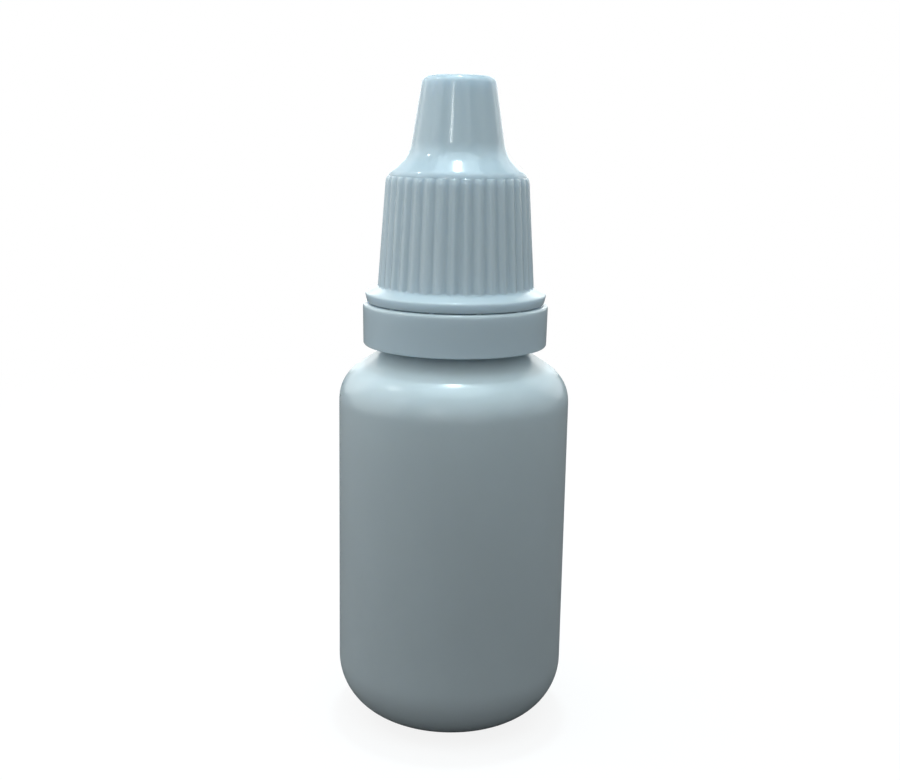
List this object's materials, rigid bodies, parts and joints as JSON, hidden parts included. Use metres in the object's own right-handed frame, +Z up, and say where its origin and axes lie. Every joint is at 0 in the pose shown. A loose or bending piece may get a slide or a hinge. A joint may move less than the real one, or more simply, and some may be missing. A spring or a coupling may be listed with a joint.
{
  "type": "eye drop bottle",
  "caption": "Small upright squeeze dropper bottle with a ribbed screw cap, a pressed-in dropper nozzle and a tamper ring on its threaded neck.",
  "frame": {"origin": "centre of the bottle's base, on the surface that it stands on", "axes": "+Z up along the common axis of the bottle, insert, cap and ring; the pictured side faces -Y"},
  "size_m": [0.0226, 0.0226, 0.0634],
  "materials": {
    "bottle_plastic": "soft semi-gloss, bluish white squeezable polyethylene",
    "cap_plastic": "smooth semi-gloss, bluish white hard polyethylene",
    "insert_plastic": "satin, natural soft polyethylene"
  },
  "bodies": {
    "bottle": {"bottle": "bottle_plastic", "dropper_insert": "insert_plastic"},
    "ring": {"tamper_ring": "cap_plastic"},
    "cap": {"cap": "cap_plastic"}
  },
  "joints": [
    {"name": "cap_turn", "type": "hinge", "parent": "bottle", "child": "ring", "pos_m": [0, 0, 0.045], "axis": [0, 0, 1], "range_deg": [0, 540]},
    {"name": "cap_lift", "type": "slide", "parent": "ring", "child": "cap", "axis": [0, 0, 1], "range_m": [0, 0.0032]}
  ],
  "couplings": [
    {"joint": "cap_lift", "follows": "cap_turn", "m_per_rad": 0.00033423}
  ]
}
